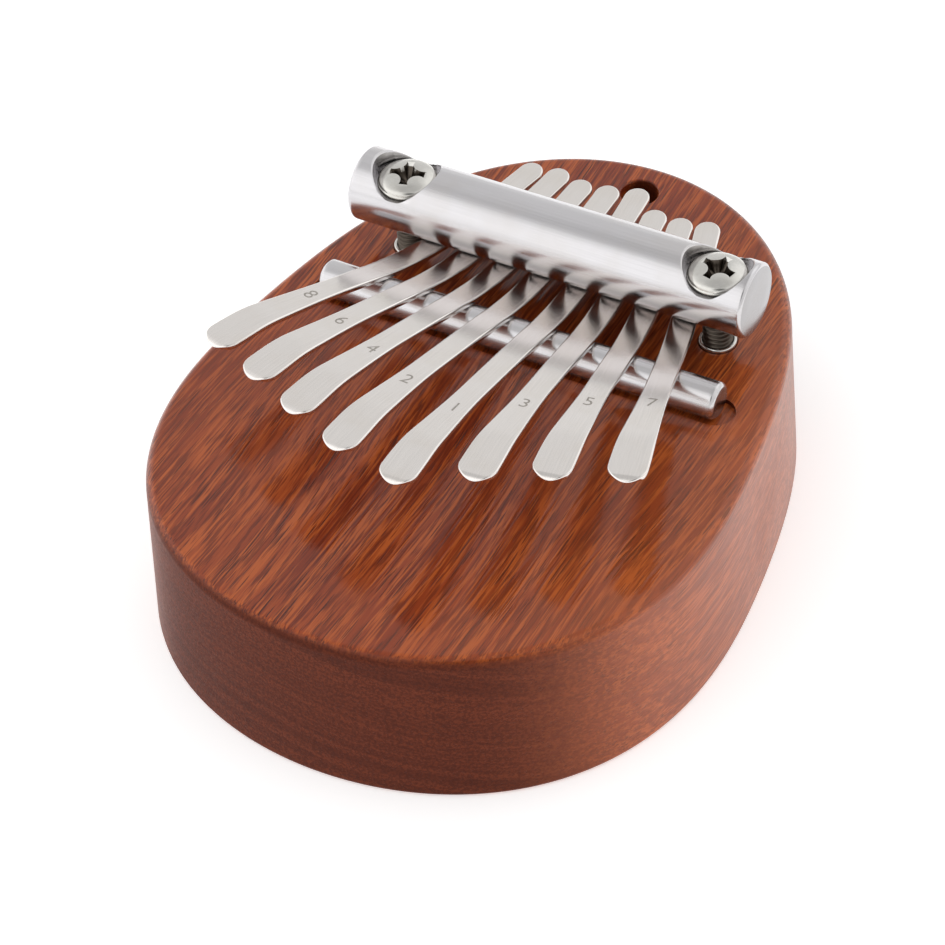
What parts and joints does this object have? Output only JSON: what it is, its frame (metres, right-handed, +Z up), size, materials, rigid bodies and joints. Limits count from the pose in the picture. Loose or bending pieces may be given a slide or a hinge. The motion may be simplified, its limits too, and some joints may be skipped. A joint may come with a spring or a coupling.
{
  "type": "mbira",
  "caption": "Small thumb piano: an egg-shaped lacquered wooden board with steel tines that cross a bridge rod and are clamped under a round pressure bar.",
  "frame": {"origin": "middle of the board's resting face", "axes": "+X to the player's right along the pressure bar, +Y towards the lanyard hole, +Z up through the board to the tines"},
  "size_m": [0.076, 0.0992, 0.0366],
  "materials": {
    "lacquered_wood": "satin lacquer over reddish brown wood",
    "polished_steel": "polished along its length",
    "nickel_screw": "bright nickel plate",
    "spring_steel": "satin nickel-plated spring steel"
  },
  "bodies": {
    "board": {"wooden_body": "lacquered_wood", "front_bridge_rod": "polished_steel", "rear_bridge_rod": "polished_steel", "pressure_bar": "polished_steel", "bar_screws": "nickel_screw", "threaded_inserts": "nickel_screw", "tine_1_shank": "spring_steel", "tine_2_shank": "spring_steel", "tine_3_shank": "spring_steel", "tine_4_shank": "spring_steel", "tine_5_shank": "spring_steel", "tine_6_shank": "spring_steel", "tine_7_shank": "spring_steel", "tine_8_shank": "spring_steel"},
    "tine_1": {"tine_1_blade": "spring_steel"},
    "tine_2": {"tine_2_blade": "spring_steel"},
    "tine_3": {"tine_3_blade": "spring_steel"},
    "tine_4": {"tine_4_blade": "spring_steel"},
    "tine_5": {"tine_5_blade": "spring_steel"},
    "tine_6": {"tine_6_blade": "spring_steel"},
    "tine_7": {"tine_7_blade": "spring_steel"},
    "tine_8": {"tine_8_blade": "spring_steel"}
  },
  "joints": [
    {"name": "tine_1_flex", "type": "hinge", "parent": "board", "child": "tine_1", "pos_m": [-0.02213, 0.00501, 0.02872], "axis": [0.9508, -0.3099, 0], "range_deg": [-2, 4], "stiffness_Nm_per_rad": 3.72},
    {"name": "tine_2_flex", "type": "hinge", "parent": "board", "child": "tine_2", "pos_m": [-0.01551, 0.00493, 0.02867], "axis": [0.9753, -0.2211, 0], "range_deg": [-2, 4], "stiffness_Nm_per_rad": 3.3},
    {"name": "tine_3_flex", "type": "hinge", "parent": "board", "child": "tine_3", "pos_m": [-0.00918, 0.00489, 0.02862], "axis": [0.9897, -0.143, 0], "range_deg": [-2, 4], "stiffness_Nm_per_rad": 2.95},
    {"name": "tine_4_flex", "type": "hinge", "parent": "board", "child": "tine_4", "pos_m": [-0.00294, 0.00487, 0.02857], "axis": [0.998, -0.064, 0], "range_deg": [-2, 4], "stiffness_Nm_per_rad": 2.66},
    {"name": "tine_5_flex", "type": "hinge", "parent": "board", "child": "tine_5", "pos_m": [0.00356, 0.00486, 0.02854], "axis": [0.9998, 0.02, 0], "range_deg": [-2, 4], "stiffness_Nm_per_rad": 2.5},
    {"name": "tine_6_flex", "type": "hinge", "parent": "board", "child": "tine_6", "pos_m": [0.00937, 0.00487, 0.02858], "axis": [0.9959, 0.09, 0], "range_deg": [-2, 4], "stiffness_Nm_per_rad": 2.86},
    {"name": "tine_7_flex", "type": "hinge", "parent": "board", "child": "tine_7", "pos_m": [0.0154, 0.0049, 0.02864], "axis": [0.9861, 0.166, 0], "range_deg": [-2, 4], "stiffness_Nm_per_rad": 3.27},
    {"name": "tine_8_flex", "type": "hinge", "parent": "board", "child": "tine_8", "pos_m": [0.02197, 0.00496, 0.02869], "axis": [0.9664, 0.2571, 0], "range_deg": [-2, 4], "stiffness_Nm_per_rad": 3.75}
  ]
}
